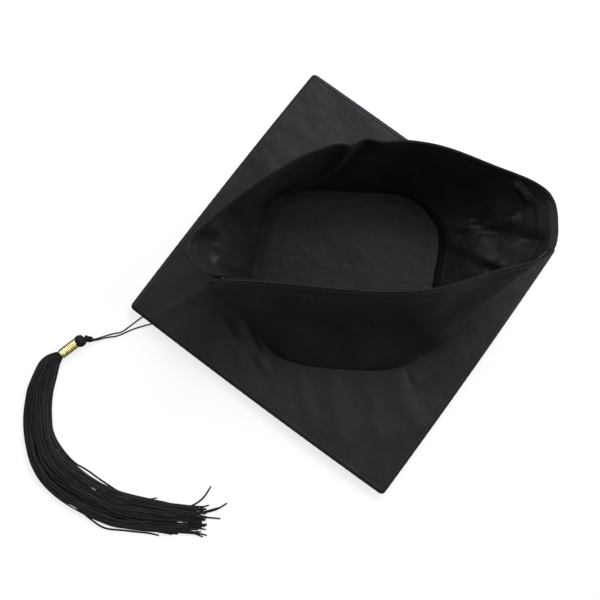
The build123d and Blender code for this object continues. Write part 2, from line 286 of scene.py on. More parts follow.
def smooth_through(knots, values, at):
    """The natural cubic spline through values at the knots."""
    knots, values = np.asarray(knots, float), np.asarray(values, float)
    if values.ndim == 1:
        return smooth_through(knots, values[:, None], at)[:, 0]
    n = len(knots)
    gap = np.diff(knots)
    matrix, right = np.eye(n), np.zeros_like(values)
    for i in range(1, n - 1):
        matrix[i, i - 1:i + 2] = gap[i - 1], 2 * (gap[i - 1] + gap[i]), gap[i]
        rise = (values[i + 1] - values[i]) / gap[i] - (values[i] - values[i - 1]) / gap[i - 1]
        right[i] = 6 * rise
    bend = np.linalg.solve(matrix, right)
    i = np.clip(np.searchsorted(knots, at, side="right") - 1, 0, n - 2)
    h, a = gap[i][:, None], (knots[i + 1] - at)[:, None] / gap[i][:, None]
    b = 1 - a
    line = a * values[i] + b * values[i + 1]
    return line + ((a**3 - a) * bend[i] + (b**3 - b) * bend[i + 1]) * h**2 / 6


def noise_at(points, size, seed, octaves=2):
    """Smooth noise from -1 to 1 at each point, that many metres across."""
    offset = Vector((seed * 13.7, seed * 5.1, seed * 9.3))
    flat = np.asarray(points).reshape(-1, 3) / size
    found = [noise.fractal(Vector(p) + offset, 1.0, 2.0, octaves) for p in flat]
    return np.array(found).reshape(np.asarray(points).shape[:-1])


def finish_mesh(name, vertices, faces, material, uv=None):
    """A smooth-shaded object with its faces outwards and, where given, a UV a vertex."""
    mesh = bpy.data.meshes.new(name)
    mesh.from_pydata([tuple(v) for v in vertices], [], faces)
    if uv is not None:
        layer = mesh.uv_layers.new(name="UVMap")
        corners = np.zeros(len(mesh.loops), np.int32)
        mesh.loops.foreach_get("vertex_index", corners)
        layer.data.foreach_set("uv", np.asarray(uv, np.float32)[corners].ravel())
    built = bmesh.new()
    built.from_mesh(mesh)
    bmesh.ops.recalc_face_normals(built, faces=built.faces)
    built.to_mesh(mesh)
    built.free()
    mesh.polygons.foreach_set("use_smooth", [True] * len(mesh.polygons))
    mesh.materials.append(material)
    piece = bpy.data.objects.new(name, mesh)
    bpy.context.scene.collection.objects.link(piece)
    return piece


def unit(vectors):
    return vectors / np.maximum(np.linalg.norm(vectors, axis=-1, keepdims=True), 1e-12)


def xyz(x, y=0.0, z=0.0):
    """Points from their coordinates, each an array or one number."""
    return np.stack(np.broadcast_arrays(x, y, z), -1)


def lengths_along(line):
    """How far along a line of points each of them is."""
    return np.concatenate([[0], np.cumsum(np.linalg.norm(np.diff(line, axis=0), axis=1))])


def between(at, along, values):
    """The rows of values at places between the places that they are known at."""
    return np.stack([np.interp(at, along, values[:, k]) for k in range(3)], -1)


def bell(x, wide):
    """1 at 0, falling smoothly to a third at that width."""
    return np.exp(-((x / wide) ** 2))


def spun(turn, across, over):
    """Directions turned by those angles from across towards over."""
    return np.cos(turn)[..., None] * across + np.sin(turn)[..., None] * over


def grid_normals(grid):
    """The side that a grid's columns turned upwards face, as unit vectors."""
    return unit(np.cross(np.gradient(grid, axis=0), np.gradient(grid, axis=1)))


def shell(name, outer, inner, material, uv=None, rounded=True, closed=False):
    """A thin closed sheet between two grids, its open edges rounded over."""
    m, n = outer.shape[:2]
    count = m * n
    index = np.arange(count).reshape(m, n)
    faces = []
    for i in range(m if closed else m - 1):
        k = (i + 1) % m
        for j in range(n - 1):
            quad = (index[i, j], index[k, j], index[k, j + 1], index[i, j + 1])
            faces.append(quad)
            faces.append(tuple(count + v for v in reversed(quad)))
    if closed:
        rings = [[(i, 0, i, 1) for i in range(m)], [(i, n - 1, i, n - 2) for i in range(m)]]
    else:
        ring = [(i, 0, i, 1) for i in range(m)]
        ring += [(m - 1, j, m - 2, j) for j in range(1, n)]
        ring += [(i, n - 1, i, n - 2) for i in range(m - 2, -1, -1)]
        ring += [(0, j, 1, j) for j in range(n - 2, 0, -1)]
        rings = [ring]
    vertices = [outer.reshape(-1, 3), inner.reshape(-1, 3)]
    total = 2 * count
    flat_uv = None if uv is None else [np.asarray(uv).reshape(-1, 2)] * 2
    for ring in rings:
        i, j, di, dj = np.array(ring).T
        middle = (outer[i, j] + inner[i, j]) / 2
        if rounded:
            thick = np.linalg.norm(outer[i, j] - inner[i, j], axis=1, keepdims=True)
            thick = thick * ((i == di) | ((i != 0) & (i != m - 1)))[:, None]
            middle = middle + unit(outer[i, j] - outer[di, dj]) * thick / 2
        vertices.append(middle)
        if uv is not None:
            flat_uv.append(np.asarray(uv)[i, j])
        size = len(ring)
        for a in range(size):
            b = (a + 1) % size
            ia, ib = index[ring[a][:2]], index[ring[b][:2]]
            faces.append((ia, total + a, total + b, ib))
            faces.append((total + a, count + ia, count + ib, total + b))
        total += size
    if flat_uv is not None:
        flat_uv = np.concatenate(flat_uv)
    faces = [tuple(int(v) for v in face) for face in faces]
    return finish_mesh(name, np.concatenate(vertices), faces, material, flat_uv)


def frames_along(path):
    """Tangents and two side directions that don't twist along the path."""
    path = np.asarray(path, float)
    tangent = unit(np.gradient(path, axis=0))
    side = np.cross(tangent[0], (0, 0, 1.0))
    if np.linalg.norm(side) < 1e-6:
        side = np.cross(tangent[0], (1.0, 0, 0))
    sides = []
    for t in tangent:
        side = side - t * (side @ t)
        side = side / np.linalg.norm(side)
        sides.append(side)
    sides = np.array(sides)
    return tangent, sides, np.cross(tangent, sides)


def tube_parts(path, radius, sides=6):
    """Vertices, faces and UVs of a round tube with pointed ends along the path."""
    path = np.asarray(path, float)
    radius = np.broadcast_to(radius, len(path))
    tangent, across, over = frames_along(path)
    turn = np.arange(sides) * 2 * pi / sides
    ring = spun(turn[None], across[:, None], over[:, None])
    vertices = (path[:, None] + ring * radius[:, None, None]).reshape(-1, 3)
    along = lengths_along(path)
    uv = [
        (along[i], k * radius[i] * 2 * pi / sides)
        for i in range(len(path)) for k in range(sides)
    ]
    faces = []
    for i in range(len(path) - 1):
        for k in range(sides):
            a, b = i * sides + k, i * sides + (k + 1) % sides
            faces.append((a, b, b + sides, a + sides))
    tips = [path[0] - tangent[0] * radius[0] * 0.7, path[-1] + tangent[-1] * radius[-1] * 0.7]
    start, end = len(vertices), len(vertices) + 1
    vertices = np.concatenate([vertices, tips])
    uv += [(0, 0), (along[-1], 0)]
    last = (len(path) - 1) * sides
    for k in range(sides):
        after = (k + 1) % sides
        faces.append((start, after, k))
        faces.append((end, last + k, last + after))
    return vertices, faces, uv


def join_tubes(name, tubes, material):
    """One object of many tubes, each (path, radius, sides)."""
    vertices, faces, uv = [], [], []
    for path, radius, sides in tubes:
        v, f, t = tube_parts(path, radius, sides)
        base = len(vertices)
        vertices += list(v)
        faces += [tuple(i + base for i in face) for face in f]
        uv += t
    return finish_mesh(name, vertices, faces, material, uv)


def route(name, points, material=None, diameter=0.0, radii=None, resolution=12):
    """A NURBS curve with those points, in metres, as its control points."""
    curve = bpy.data.curves.new(name, "CURVE")
    curve.dimensions = "3D"
    curve.resolution_u = resolution
    curve.use_fill_caps = True
    curve.bevel_depth = diameter / 2
    curve.bevel_resolution = 1
    line = curve.splines.new("NURBS")
    line.points.add(len(points) - 1)
    for i, (point, place) in enumerate(zip(line.points, points)):
        point.co = (*place, 1)
        point.radius = 1 if radii is None else radii[i]
    line.order_u = 3
    line.use_endpoint_u = True
    if material:
        curve.materials.append(material)
    piece = bpy.data.objects.new(name, curve)
    bpy.context.scene.collection.objects.link(piece)
    return piece


def route_line(points, step):
    """The points that a cord's own NURBS line goes through, about a step apart."""
    guide = route("guide", points, resolution=24)
    mesh = bpy.data.meshes.new_from_object(guide)
    line = np.array([v.co for v in mesh.vertices], float)
    bpy.data.objects.remove(guide)
    bpy.data.meshes.remove(mesh)
    along = lengths_along(line)
    keep = np.concatenate([[True], np.diff(along) > 1e-9])
    line, along = line[keep], along[keep]
    at = np.linspace(0, along[-1], max(8, int(along[-1] / step)))
    return between(at, along, line), along[-1]


def put(piece, body, slot, *nodes):
    """Sets what the piece rides on and hides the parts that it stands for; the slot, naming its
    finish, is not used.
    """
    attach(piece, body)
    if nodes:
        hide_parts(*nodes)
    return piece


# Cords: the tassel's looped cord

LOOP_POINTS = [
    (20.4, -201.8, 2.4), (20.2, -198.6, 1.5), (19.5, -195.6, 0.9), (18.6, -190.8, 0.8),
    (17.8, -185.2, 0.8), (17.8, -180.8, 0.9), (17.0, -177.4, 1.0), (14.8, -173.8, 0.8),
    (11.4, -167.9, 0.7), (7.9, -161.9, 0.7), (4.4, -152.0, 0.7), (1.5, -131.0, 0.7),
    (1.6, -98.0, 0.7), (-1.6, -63.0, 0.7), (-2.4, -37.0, 1.5), (-4.3, -20.0, 3.6),
    (-4.9, -8.5, 4.0), (-4.7, -1.8, 4.0), (-3.4, 3.4, 4.0), (0.1, 5.0, 4.0),
    (3.5, 3.3, 4.0), (4.7, -1.9, 4.0), (4.9, -8.5, 4.0), (5.4, -20.0, 3.6),
    (5.3, -37.0, 1.5), (8.6, -63.0, 0.7), (8.2, -98.0, 0.7), (12.6, -129.0, 0.7),
    (14.0, -153.0, 0.7), (15.2, -162.9, 0.7), (16.2, -168.5, 0.7), (16.9, -171.9, 0.7),
    (18.5, -176.5, 0.8), (19.7, -181.0, 0.8), (20.3, -184.4, 0.8), (20.0, -189.2, 0.8),
    (20.4, -193.8, 0.9), (21.2, -198.4, 1.6), (21.2, -201.6, 2.4),
]
LOOP_DIAMETER = 1.3 * MM
LOOP_PLIES, PLY_PITCH = 3, 4.2 * MM


def tassel_loop():
    """The looped cord, three plies laid round its route's own line."""
    points = [Vector(p) * MM for p in LOOP_POINTS]
    line, length = route_line(points, 0.55 * MM)
    _, across, over = frames_along(line)
    along = np.linspace(0, length, len(line))
    ply = LOOP_DIAMETER * 0.29
    reach = LOOP_DIAMETER / 2 - ply
    tubes = []
    for k in range(LOOP_PLIES):
        turn = 2 * pi * (along / PLY_PITCH + k / LOOP_PLIES)
        tubes.append((line + spun(turn, across, over) * reach, ply, 6))
    cord = join_tubes("tassel_loop_cord", tubes, TASSEL)
    put(cord, "tassel_cord", "tassel_thread", "tassel_loop")


tassel_loop()

# Cords: the skirt's strands

KNOT = Vector((19.7, -203.6, 2.6)) * MM
HEAD = Vector((20.8, -210.6, 4.8)) * MM
COLLAR_START = Vector((21.15, -213.3, 4.1)) * MM
COLLAR_TURN = -59.5
COLLAR_AXIS = Vector((cos(radians(COLLAR_TURN)), sin(radians(COLLAR_TURN)), 0))
BINDING_RADIUS = 3.2 * MM
TABLE_GAP = 0.2 * MM

# The skirt's stations: centre (x, y), width and thickness of the bundle, in mm
SKIRT_STATIONS = [
    (30.6, -230.2, 11.2, 6.4), (34.9, -235.5, 16.4, 7.0), (42.8, -239.8, 18.7, 6.8),
    (54.0, -245.3, 20.6, 6.4), (72.0, -249.0, 22.0, 6.0), (90.6, -249.7, 22.4, 5.8),
    (108.6, -244.6, 27.7, 5.6), (122.5, -234.4, 30.0, 5.4), (135.7, -219.8, 30.6, 5.2),
    (149.3, -202.6, 31.8, 5.0), (157.0, -180.8, 26.6, 4.6), (162.9, -158.4, 22.5, 4.2),
    (167.3, -136.5, 16.5, 3.6),
]
# How much of that width the body of the bundle takes on its inner and outer side
BODY_INNER = [1.0, 1.0, 1.0, 1.0, 1.0, 1.0, 1.0, 0.99, 0.91, 0.82, 0.91, 1.0, 1.0, 1.0]
BODY_OUTER = [1.0, 1.0, 1.0, 1.0, 1.0, 1.0, 1.0, 1.0, 0.99, 0.95, 0.8, 0.94, 0.99, 1.0]
STRAND_DIAMETER, STRAY_DIAMETER = 1.0 * MM, 1.4 * MM
STRANDS = 175
DECLARED = 39  # each a curve object of its own; the rest are one mesh
GOLDEN_ANGLE = 2.39996
# Lanes run from -1 to 1 across the bundle. A strand wanders from its own: the share of
# a sidestep that it keeps to the next station, its limit, its sidesteps at the collar,
# what each station adds to them, and its steps up or down
LANE_MEMORY, LANE_LIMIT, SIDESTEP, MORE_EACH, STEP_UP = 0.75, 0.98, 0.07, 0.014, 0.18
DRIFTING, DRIFT = 0.2, 1.1  # the share of strands that cross the bundle, and how far
ENDS_EARLY, TIP_SPREAD = 0.3, 1.6 * MM

# Strands that leave the bundle: the station they leave after, their lane there, and
# the points (x, y, z) in mm that they go on through
STRAYS = [
    (6, 0.95, [
        (110.5, -227.4, 3.0), (117.2, -217.7, 2.6), (125.2, -209.7, 2.2), (132.4, -201.6, 1.8),
        (137.8, -195.6, 2.6), (145.0, -182.2, 3.0), (149.5, -165.0, 2.4),
    ]),
    (6, 0.9, [
        (113.7, -226.3, 2.6), (120.2, -222.6, 1.4), (125.6, -216.5, 1.2), (130.3, -210.4, 1.2),
        (136.0, -202.1, 1.6), (141.5, -190.8, 2.4), (150.0, -172.0, 2.6), (155.0, -152.0, 1.8),
    ]),
    (7, 0.8, [
        (130.0, -211.9, 1.6), (137.8, -205.4, 1.1), (139.6, -198.1, 1.3), (144.0, -190.4, 2.0),
        (152.0, -172.0, 2.6), (158.0, -150.0, 2.0),
    ]),
    (8, -0.97, [
        (157.7, -216.0, 0.9), (163.3, -208.5, 0.7), (165.8, -196.9, 0.7), (169.0, -185.4, 0.7),
        (171.1, -176.7, 0.7), (173.9, -170.3, 0.6),
    ]),
    (8, -0.93, [
        (154.9, -214.8, 1.4), (158.7, -209.3, 1.2), (162.9, -200.9, 1.0), (165.2, -190.8, 1.0),
        (167.8, -179.2, 1.1), (171.5, -169.2, 0.9), (175.0, -156.2, 0.6),
    ]),
    (9, -0.95, [
        (165.4, -184.9, 1.2), (168.2, -176.3, 1.0), (172.5, -167.9, 1.2), (172.6, -157.4, 1.0),
        (174.2, -147.1, 0.8), (180.0, -138.1, 0.6),
    ]),
    (10, -0.8, [
        (168.3, -161.3, 1.2), (171.8, -152.8, 0.9), (175.4, -144.2, 0.8), (179.3, -135.0, 0.6),
    ]),
    (10, 0.6, [
        (157.0, -152.3, 2.4), (156.2, -143.2, 1.8), (153.4, -136.7, 1.2), (149.7, -131.7, 0.8),
        (143.7, -127.1, 0.6),
    ]),
    (10, 0.5, [
        (159.2, -152.6, 2.0), (159.6, -145.1, 1.4), (158.6, -137.4, 0.9), (157.4, -130.5, 0.6),
    ]),
    (10, 0.0, [
        (164.8, -154.8, 2.6), (164.0, -145.7, 1.9), (161.4, -133.3, 1.0), (160.4, -122.6, 0.6),
    ]),
    (10, 0.1, [
        (163.3, -150.2, 1.5), (162.7, -139.5, 1.1), (162.1, -128.9, 0.9), (160.8, -122.6, 1.5),
        (158.0, -116.9, 0.8),
    ]),
    (10, -0.1, [
        (164.4, -157.8, 2.0), (165.0, -148.9, 1.4), (165.4, -138.4, 0.9), (166.6, -131.0, 0.7),
        (168.7, -123.3, 0.6),
    ]),
    (10, -0.4, [(167.8, -155.3, 1.4), (168.4, -146.3, 1.0), (169.5, -138.9, 0.6)]),
    (10, -0.5, [
        (167.8, -155.3, 0.9), (169.8, -146.5, 0.7), (172.2, -140.8, 0.7), (174.2, -137.3, 0.6),
    ]),
]


def skirt_frames():
    """Each station's centre, direction across, half width and half thickness."""
    mouth = COLLAR_START + COLLAR_AXIS * (COLLAR_LENGTH + 0.1 * MM)
    rows = [(mouth, BINDING_RADIUS, BINDING_RADIUS)]
    for x, y, wide, high in SKIRT_STATIONS:
        centre = Vector((x, y, 0)) * MM + Vector((0, 0, TABLE_GAP + high / 2 * MM))
        rows.append((centre, wide / 2 * MM, high / 2 * MM))
    found = []
    for i, (centre, wide, high) in enumerate(rows):
        before, after = rows[max(i - 1, 0)][0], rows[min(i + 1, len(rows) - 1)][0]
        along = after - before if i else COLLAR_AXIS
        along = Vector((along.x, along.y, 0)).normalized()
        found.append((centre, Vector((-along.y, along.x, 0)), wide, high))
    return found


def strand_points(frames, lanes, stop):
    """A strand's control points as it keeps to its lanes (across, up) up to a station."""
    r = STRAND_DIAMETER / 2
    points = []
    for i, (centre, across, wide, high) in enumerate(frames[:stop + 1]):
        a, b = lanes[i]
        spare = max(0.2, 1 - 0.55 * abs(a) ** 3)
        share = (BODY_INNER if a > 0 else BODY_OUTER)[i]
        place = centre + across * (a * (wide - r) * share)
        place.z = centre.z + b * (high - r) * spare
        points.append(place)
    return points


def skirt_strands():
    """Every strand's control points, the strays first."""
    frames = skirt_frames()
    draw = Random(11)
    strands = []
    for k in range(STRANDS):
        reach = ((k + 0.5) / STRANDS) ** 0.5
        turn = k * GOLDEN_ANGLE
        a, b = reach * cos(turn), reach * sin(turn)
        stray = STRAYS[k] if k < len(STRAYS) else None
        if stray:
            a, b = stray[1], draw.uniform(-0.2, 0.2)
        stop = stray[0] if stray else len(frames) - 1
        da = db = 0.0
        drift = draw.uniform(-DRIFT, DRIFT) if draw.random() < DRIFTING else 0.0
        loose = 1.3 if k % 3 == 0 else 0.5  # every third strand wanders more
        lanes = []
        for i in range(len(frames)):
            da = LANE_MEMORY * da + draw.gauss(0, SIDESTEP + MORE_EACH * i) * loose
            db = LANE_MEMORY * db + draw.gauss(0, STEP_UP)
            ease = min(1.0, i / 3)
            la = a + da * ease + drift * min(1.0, max(0.0, (i - 4) / 6))
            lb = b + db * ease
            over = (la * la + lb * lb) ** 0.5
            if over > LANE_LIMIT:
                la, lb = la / over * LANE_LIMIT, lb / over * LANE_LIMIT
            lanes.append((la, lb))
        points = strand_points(frames, lanes, stop)
        if stray:
            points += [Vector(p) * MM for p in stray[2]]
        else:
            if draw.random() < ENDS_EARLY:
                points = points[:-1]
            last, before = points[-1], points[-2]
            share = draw.uniform(0.3, 1.15)
            side = frames[-1][1] * draw.gauss(0, TIP_SPREAD)
            tip = before + (last - before) * share + side
            tip.z = max(STRAND_DIAMETER / 2 + 0.1 * MM, tip.z - draw.uniform(0.4, 1.5) * MM)
            points[-1] = tip
        strands.append(points)
    return strands


def tassel_skirt():
    strands = skirt_strands()
    for k, points in enumerate(strands[:DECLARED]):
        radii = [0.5, 0.7] + [1.0] * (len(points) - 3) + [0.8]
        diameter = STRAY_DIAMETER if k < len(STRAYS) else STRAND_DIAMETER
        name = f"tassel_strand_{k + 1:02d}"
        strand = route(name, points, TASSEL, diameter, radii, resolution=6)
        put(strand, "tassel", "tassel_thread", "tassel_skirt")
        length = route_line(points, 2 * MM)[1]
    inner = []
    for points in strands[DECLARED:]:
        line = route_line(points, 2 * MM)[0]
        radius = np.full(len(line), STRAND_DIAMETER / 2)
        radius[:6] *= np.linspace(0.5, 1, 6)
        inner.append((line, radius, 6))
    rest = join_tubes("tassel_strands_inner", inner, TASSEL)
    put(rest, "tassel", "tassel_thread", "tassel_skirt")


tassel_skirt()


def stitch(place, along, away, length, radius):
    """One stitch: a short thread that dips into the cloth at both ends."""
    bow = [(-0.5, -1.1), (-0.32, 0.1), (0, 0.45), (0.32, 0.1), (0.5, -1.1)]
    return [place + along * s * length + away * h * radius for s, h in bow]


def stitch_row(line, normal, pitch, radius):
    """Stitches end to end along a line of points lying on cloth."""
    along = lengths_along(line)
    tubes = []
    for at in np.arange(pitch * 0.7, along[-1] - pitch * 0.5, pitch):
        place = between(at, along, line)
        ahead = unit(between(at + pitch / 3, along, line) - place)
        away = unit(between(at, along, normal))
        tubes.append((stitch(place, ahead, away, pitch * 0.82, radius), radius, 5))
    return tubes


# Board

SEAM_ROUND, CORNER_RADIUS, EDGE_BOW = 1.7 * MM, 3.5 * MM, 1.0 * MM
STITCH_INSET = 2.4 * MM  # the row of stitches round the board, in from its edge
BOARD_PITCH, BOARD_THREAD = 3.2 * MM, 0.17 * MM


def edge_places(half, fine, coarse, edge):
    """Places across the board, finer near its edges, the last few round its corner."""
    middle = np.arange(-(half - edge), half - edge + coarse / 2, coarse)
    middle = np.linspace(-(half - edge), half - edge, len(middle))
    outer = np.arange(half - edge + fine, half - SEAM_ROUND, fine)
    curl = half - SEAM_ROUND * (1 - np.sin(np.linspace(0, pi / 2, 6)))
    outer = np.concatenate([outer, curl])
    return np.concatenate([-outer[::-1], middle, outer])


def board_plan(a, b):
    """A point of the square, corners on the axes, its edges bowed and corners rounded."""
    reach = BOARD_HALF - CORNER_RADIUS
    u, v = np.abs(a) - reach, np.abs(b) - reach
    corner = (u > 0) & (v > 0)
    s, t = np.where(corner, u, 0) / CORNER_RADIUS, np.where(corner, v, 0) / CORNER_RADIUS
    x = np.where(corner, np.sign(a) * (reach + CORNER_RADIUS * s * np.sqrt(1 - t * t / 2)), a)
    y = np.where(corner, np.sign(b) * (reach + CORNER_RADIUS * t * np.sqrt(1 - s * s / 2)), b)
    x = x + EDGE_BOW * (x / BOARD_HALF) * (1 - (y / BOARD_HALF) ** 2)
    y = y + EDGE_BOW * (y / BOARD_HALF) * (1 - (x / BOARD_HALF) ** 2)
    half = 0.5 ** 0.5
    return (x + y) * half, (y - x) * half


# Where the sewn crown seam runs a little off the pattern: angle from +X, and mm outwards
CROWN_EASE = [
    (-60, 0), (45, 0), (60, -3), (74, -6.5), (86, -5), (97, -2), (108, 1), (120, 0), (135, 1),
    (150, -1), (165, -2.3), (180, -2.6), (195, -1.8), (208, 1.4), (217, 0.4), (227, -1.8),
    (240, -2.3), (253, 0.8), (262, 1.2), (280, 0), (300, 0),
]


def crown_reach(angle, inset=0.0):
    """How far the crown seam is from the button's axis, at angles in degrees from +X."""
    ease = np.interp((angle + 60) % 360 - 60, *np.array(CROWN_EASE, float).T) * MM
    across, along = CROWN_ACROSS / 2 - inset, CROWN_ALONG / 2 - inset
    turned = np.radians(angle - CROWN_TURN)
    share = np.abs(np.cos(turned) / across) ** CROWN_SQUARENESS
    share = share + np.abs(np.sin(turned) / along) ** CROWN_SQUARENESS
    return share ** (-1 / CROWN_SQUARENESS) + ease


def from_line(points, line):
    """How far the points are from a line given in mm, and the share of the way along it."""
    line = np.asarray(line, float) * MM
    best, share = np.full(points.shape[:-1], 1e9), np.zeros(points.shape[:-1])
    for i, (p, q) in enumerate(zip(line, line[1:])):
        d = q - p
        t = np.clip(((points - p) @ d) / (d @ d), 0, 1)
        gap = np.linalg.norm(points - p - t[..., None] * d, axis=-1)
        share = np.where(gap < best, (i + t) / (len(line) - 1), share)
        best = np.minimum(best, gap)
    return best, share


# Folds in the cover on the skullcap's side: the line (x, y) in mm, its half width and
# its height in mm
BOARD_FOLDS = [
    ([(32.2, -72.1), (43.9, -67.6), (57.3, -61.1)], 2.2, 1.9),
    ([(30.0, -78.0), (42.0, -73.8), (58.0, -68.0)], 1.8, -1.3),
    ([(24.4, -83.4), (40.6, -79.6), (60.4, -75.2)], 2.6, 1.6),
    ([(38.0, -88.0), (52.0, -80.0), (68.0, -70.0)], 2.4, 1.0),
    ([(18.7, -101.3), (35.2, -95.8), (56.7, -90.1)], 4.0, 1.5),
    ([(77.0, 34.0), (85.5, 34.4), (91.0, 34.8)], 1.6, -0.75),
    ([(76.0, -26.1), (101.3, -25.1), (134.0, -24.6)], 7.0, 1.0),
    ([(80.5, 1.2), (109.3, 3.2), (148.6, 4.9)], 6.5, 0.9),
    ([(86.3, 22.3), (109.6, 31.3), (137.7, 39.0)], 7.5, 0.8),
    ([(66.6, -48.0), (86.5, -47.6), (109.9, -45.1)], 5.0, 0.9),
    ([(16.1, -156.2), (3.4, -131.7), (-9.0, -106.4)], 5.0, 1.0),
    ([(-60.0, -95.0), (-85.0, -60.0), (-105.0, -30.0)], 7.0, 0.9),
]


def board_relief(x, y):
    """How far the cover stands up from the board: slack folds, none under the crown."""
    points = xyz(x, y)
    height = 0.5 * noise_at(points, 42 * MM, 3) + 0.22 * noise_at(points, 15 * MM, 4)
    for line, wide, high in BOARD_FOLDS:
        gap, share = from_line(points[..., :2], line)
        ends = np.sin(pi * np.clip(share * 0.9 + 0.05, 0, 1)) ** 0.5
        height = height + high * bell(gap / MM, wide) * ends
    clear = np.hypot(x, y) - crown_reach(np.degrees(np.arctan2(y, x)))
    return (height + 0.3) * MM * np.clip(clear / (6 * MM), 0, 1)


def board_cover(name, top, node):
    """One cover of the board: slack over the face, curled round to the edge seam."""
    places = edge_places(BOARD_HALF, 0.5 * MM, 1.7 * MM, 7 * MM)
    a, b = np.meshgrid(places, places, indexing="ij")
    edge = BOARD_HALF - np.maximum(np.abs(a), np.abs(b))
    x, y = board_plan(a, b)
    deep = np.clip((SEAM_ROUND - edge) / SEAM_ROUND, 0, 1)
    curl = (1 - deep ** 3) ** (1 / 3)
    rise = abs(top - SEAM_HEIGHT) * curl
    side = 1 if top > SEAM_HEIGHT else -1
    inside = np.clip((edge - 1.2 * MM) / (4 * MM), 0, 1)
    ridge = 0.28 * MM * bell(edge - STITCH_INSET, 0.55 * MM)
    pucker = 0.16 * MM * noise_at(xyz(x, y), 9 * MM, 21, 2)
    pucker = pucker * bell(edge - 5 * MM, 4 * MM)
    relief = (board_relief if side > 0 else button_pull)(x, y) * inside
    z = SEAM_HEIGHT + side * (rise + (ridge + pucker) * (edge > 0.6 * MM) + relief)
    outer = xyz(x, y, z)
    under = SEAM_HEIGHT + side * np.maximum(rise - 0.5 * MM, 0.02 * MM)
    inner = xyz(x * 0.996, y * 0.996, under)
    if side > 0:
        row = int(np.argmin(np.abs(places - (BOARD_HALF - STITCH_INSET))))
        far = len(places) - 1 - row
        there, back = range(far, row + 1), range(row, far - 1, -1)
        loop = [(k, far) for k in there] + [(row, k) for k in there]
        loop += [(k, row) for k in back] + [(far, k) for k in back]
        k, n = np.array(loop).T
        line = outer[k, n]
        up = np.broadcast_to(np.array([0, 0, 1.0]), line.shape)
        row = stitch_row(line, up, BOARD_PITCH, BOARD_THREAD)
        stitches = join_tubes("board_stitching", row, STITCH)
        put(stitches, "cap", "sewing_thread")
    cover = shell(name, outer, inner, CLOTH, np.stack([a, b], -1), rounded=False)
    put(cover, "cap", "cap_cloth", node)


def button_pull(x, y):
    """The button's side: nearly flat, drawn in radial creases at the button's neck."""
    reach, turn = np.hypot(x, y), np.arctan2(y, x)
    points = xyz(x, y)
    slack = 0.15 * noise_at(points, 40 * MM, 8)
    creases = 0.18 * np.sin(13 * turn + 3 * np.sin(turn * 2)) * bell(reach, 22 * MM)
    return (slack + 0.15 + creases) * MM * np.clip(reach / (14 * MM), 0, 1)


def board_edge_seam():
    """The ridge of the two covers' seam, with its stitches showing as small dips."""
    places = np.linspace(-BOARD_HALF, BOARD_HALF, 161)[:-1]
    full = np.full_like(places, BOARD_HALF)
    a = np.concatenate([places, full, -places, -full])
    b = np.concatenate([-full, places, full, -places])
    x, y = board_plan(a, b)
    line = xyz(x, y, SEAM_HEIGHT)
    turn = np.arange(8) * 2 * pi / 8
    away = unit(line * (1, 1, 0))
    swell = 1 + 0.12 * np.sin(np.arange(len(line)) * pi / 2)
    ring = line[:, None] + 0.62 * MM * swell[:, None, None] * (
        np.cos(turn)[None, :, None] * away[:, None] * 0.8
        + np.sin(turn)[None, :, None] * np.array([0, 0, 0.8])
    )
    m, n = ring.shape[:2]
    faces = [
        (i * n + k, ((i + 1) % m) * n + k, ((i + 1) % m) * n + (k + 1) % n, i * n + (k + 1) % n)
        for i in range(m) for k in range(n)
    ]
    uv = [(i * 1.5 * MM, k * 0.4 * MM) for i in range(m) for k in range(n)]
    seam = finish_mesh("board_edge_piping", ring.reshape(-1, 3), faces, CLOTH, uv)
    put(seam, "cap", "sewing_thread", "board_edge_seam")


board_cover("board_cover_skullcap_side", BOARD_TOP, "board_cover_underside")
board_cover("board_cover_button_side", BOARD_BOTTOM, "board_cover_top")
board_edge_seam()


# Skullcap

# Creases in the wall: the points (x, y, z) in mm that the crease follows, its half
# width, and how far it pushes the cloth out (or in, below zero), in mm
WALL_CREASES = [
    ([(-84.1, 6.6, 83), (-79.0, -5.0, 50), (-76.6, -19.7, 31.8), (-73.2, -38.8, 17)], 5.0, -4.2),
    ([(-84.0, 20.0, 83), (-80.0, 10.0, 50), (-77.0, -4.0, 31.8)], 6.0, 2.2),
    ([(-81.0, 31.9, 88), (-81.0, 33.0, 76)], 9.0, -1.9),
    ([(-39.4, 126.6, 78), (-33.9, 130.9, 75.5), (-28.4, 133.9, 73)], 2.6, -4.0),
    ([(-26.3, 81.4, 13), (-21.5, 97.2, 30), (-17.3, 115.2, 50), (-16.0, 125.0, 60)], 3.6, -3.8),
    ([(-21.5, 103.2, 37), (-10.6, 114.9, 50), (-0.9, 125.4, 63), (4.6, 135.1, 75)], 5.4, 3.6),
    ([(-16.0, 84.2, 16), (-4.8, 95.1, 29), (14.9, 110.2, 50)], 4.6, -3.0),
    ([(2.0, 92.0, 22), (14.0, 103.0, 40), (22.0, 108.0, 58)], 4.0, 2.4),
    ([(-39.0, -101.7, 76), (-33.0, -92.0, 46)], 6.0, -3.6),
    ([(-18.0, -101.0, 60), (-15.0, -92.0, 40), (-20.0, -80.0, 18)], 5.0, -3.4),
    ([(-48.0, -85.0, 70), (-44.0, -78.0, 40), (-46.0, -66.0, 20)], 5.0, 2.4),
    ([(43.0, 44.0, 58), (51.0, 55.0, 40), (58.0, 64.0, 27)], 17.0, 4.6),
]
CLOTH_THICKNESS = 0.9 * MM
LINING_GAP = 0.35 * MM
STRIP_THICKNESS, ELASTIC_THICKNESS = 0.5 * MM, 0.6 * MM
HEM_DEPTH = 12 * MM
ELASTIC_TOP, ELASTIC_LOW = 3.2 * MM, 11.2 * MM  # its edges, below the rim
CASING_MEETS = (2.8 * MM, 1.2 * MM)  # where the casing closes on the panel, below the rim
RIM_STITCHES, RIM_PITCH = 2.6 * MM, 3.0 * MM
RIM_THREAD, HEM_THREAD = 0.2 * MM, 0.16 * MM
